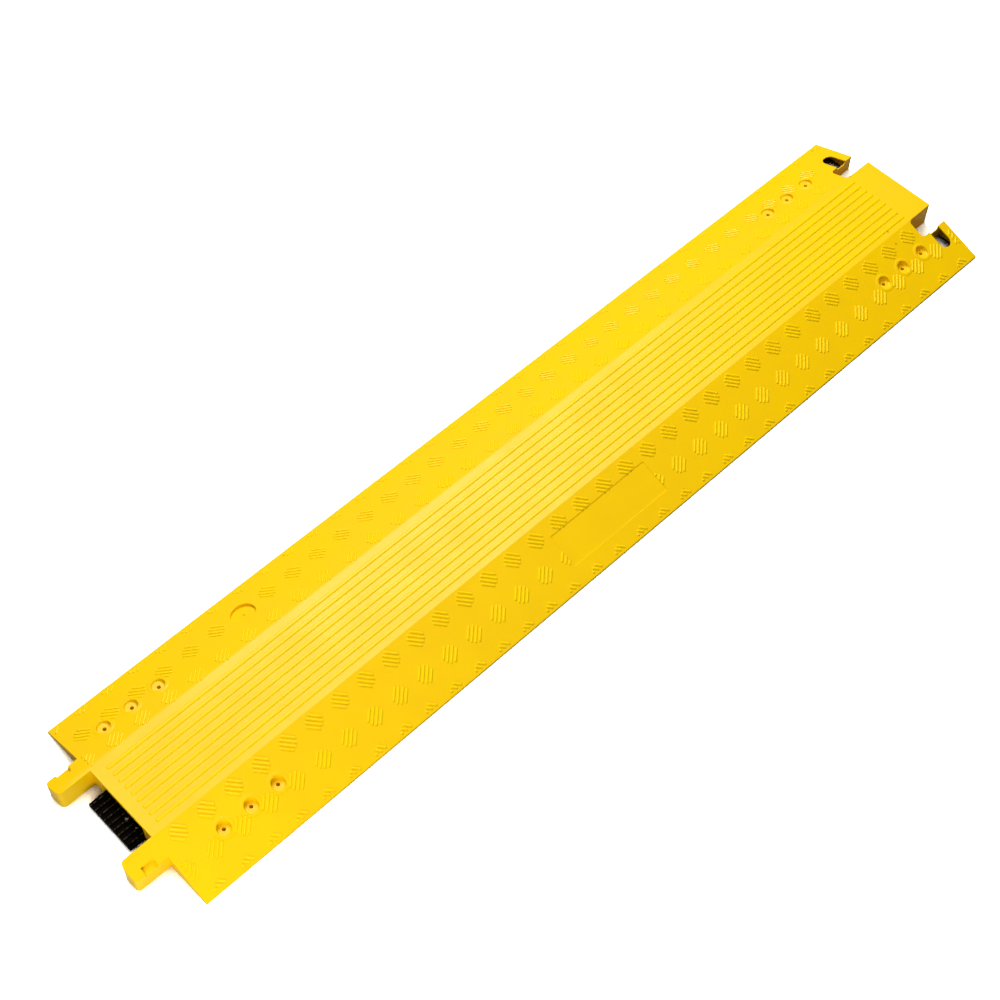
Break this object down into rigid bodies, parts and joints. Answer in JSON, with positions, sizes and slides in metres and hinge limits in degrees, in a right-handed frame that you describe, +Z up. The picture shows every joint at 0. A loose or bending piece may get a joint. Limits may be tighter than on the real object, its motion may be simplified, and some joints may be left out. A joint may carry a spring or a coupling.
{
  "type": "floor cable cover",
  "caption": "Low ramped floor cable cover with a ribbed flat top, a cable channel with a ribbed liner, hooked tabs at one end and matching notches at the other.",
  "frame": {"origin": "middle of the footprint at floor level, tabs included", "axes": "+X along the cover towards the notched end, +Y across it, +Z up from the floor"},
  "size_m": [1.0334, 0.214, 0.0268],
  "materials": {
    "cover": "moulded yellow plastic, satin with a fine grain",
    "channel_liner": "ribbed black plastic, satin"
  },
  "bodies": {
    "root": {"cover": "cover", "channel_liner": "channel_liner"}
  },
  "joints": []
}
